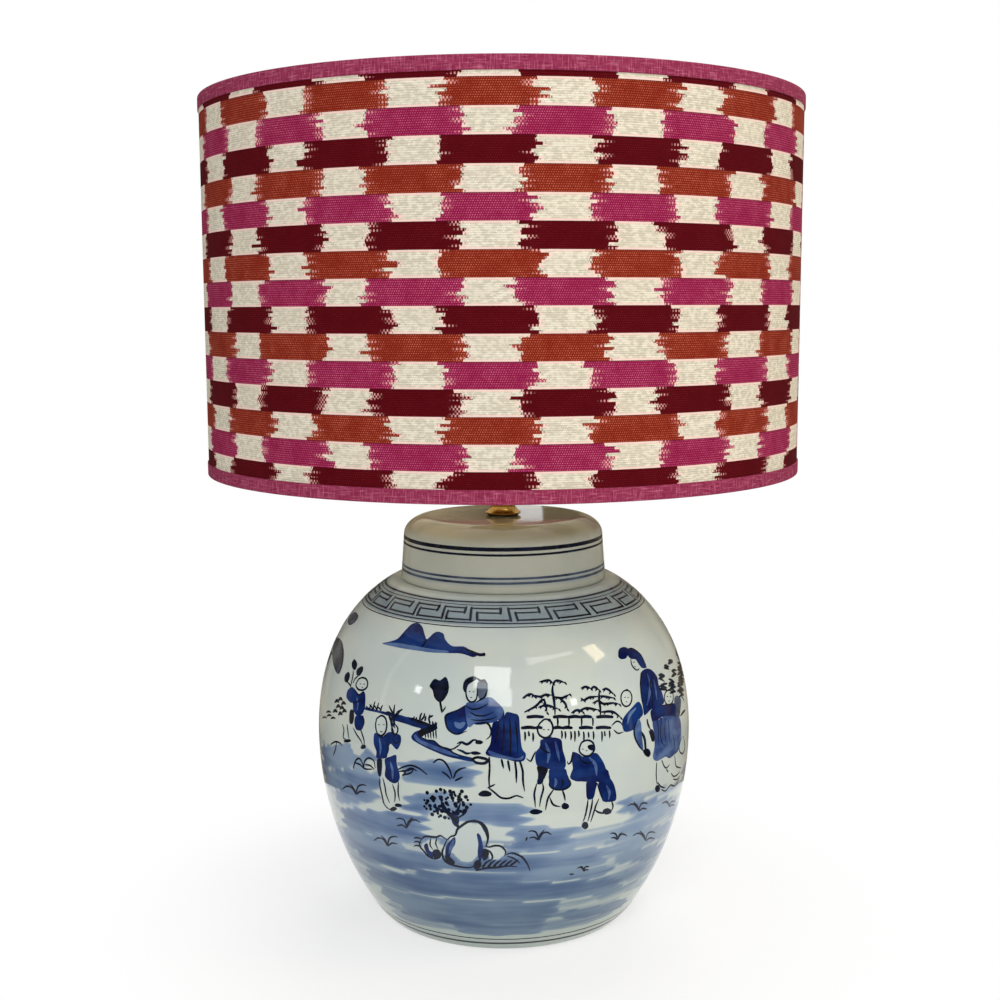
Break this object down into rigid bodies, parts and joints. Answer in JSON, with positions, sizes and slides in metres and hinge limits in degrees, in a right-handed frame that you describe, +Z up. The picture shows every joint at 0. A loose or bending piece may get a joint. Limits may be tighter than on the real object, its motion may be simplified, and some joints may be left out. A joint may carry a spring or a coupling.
{
  "type": "ginger jar table lamp",
  "caption": "Table lamp with a lidded blue-and-white porcelain ginger jar as its base and a fabric drum shade on a screw-cap lampholder.",
  "frame": {"origin": "centre of the felt's underside, on the surface that the lamp stands on", "axes": "+Z up through the jar, the lampholder and the shade; +Y towards the back, where the cord hole and the shade's seam are; -Y is the painted front"},
  "size_m": [0.4013, 0.4014, 0.558],
  "materials": {
    "felt": "matte",
    "porcelain": "gloss",
    "grommet_rubber": "matte",
    "zinc_steel": "satin",
    "washer_rubber": "matte",
    "brass": "polished",
    "contact_brass": "satin",
    "switch_plastic": "matte",
    "push_bar_plastic": "gloss",
    "holder_porcelain": "satin",
    "ikat_fabric": "matte",
    "liner_plastic": "matte",
    "white_metal": "gloss",
    "binding_linen": "matte",
    "bulb_glass": "gloss",
    "nickel_cap": "satin",
    "cap_insulator": "gloss",
    "filament": "matte"
  },
  "bodies": {
    "base": {"base_felt": "felt", "jar_body": "porcelain", "jar_lid": "porcelain", "cord_grommet": "grommet_rubber", "neck_clamp_bar": "zinc_steel", "clamp_lock_washer": "zinc_steel", "clamp_nut": "zinc_steel", "threaded_tube": "zinc_steel", "lid_washer": "washer_rubber", "brass_dome_washer": "brass", "holder_cap": "brass", "holder_sleeve": "brass", "holder_grub_screw": "zinc_steel", "terminal_screws": "contact_brass", "switch_block": "switch_plastic", "holder_insulator": "holder_porcelain", "contact_shell": "contact_brass", "centre_contact": "contact_brass"},
    "shade_ring": {"shade_clamp_ring": "brass"},
    "shade": {"shade_cover": "ikat_fabric", "shade_liner": "liner_plastic", "shade_top_wire": "white_metal", "shade_bottom_wire": "white_metal", "shade_arms": "white_metal", "shade_fitter_ring": "white_metal", "shade_top_binding": "binding_linen", "shade_bottom_binding": "binding_linen"},
    "bulb": {"bulb_glass": "bulb_glass", "bulb_screw_cap": "nickel_cap", "bulb_cap_insulator": "cap_insulator", "bulb_tip_contact": "nickel_cap", "bulb_stem": "bulb_glass", "bulb_filaments": "filament"},
    "switch_bar": {"switch_push_bar": "push_bar_plastic"}
  },
  "joints": [
    {"name": "shade_lift", "type": "slide", "parent": "base", "child": "shade_ring", "axis": [0, 0, 1], "range_m": [0, 0.11]},
    {"name": "shade_turn", "type": "hinge", "parent": "shade_ring", "child": "shade", "pos_m": [0, 0, 0.326], "axis": [0, 0, 1], "continuous": true},
    {"name": "bulb_unscrew", "type": "slide", "parent": "base", "child": "bulb", "axis": [0, 0, 1], "range_m": [0, 0.035]},
    {"name": "switch_push", "type": "slide", "parent": "base", "child": "switch_bar", "axis": [-1, 0, 0], "range_m": [0, 0.005]}
  ]
}
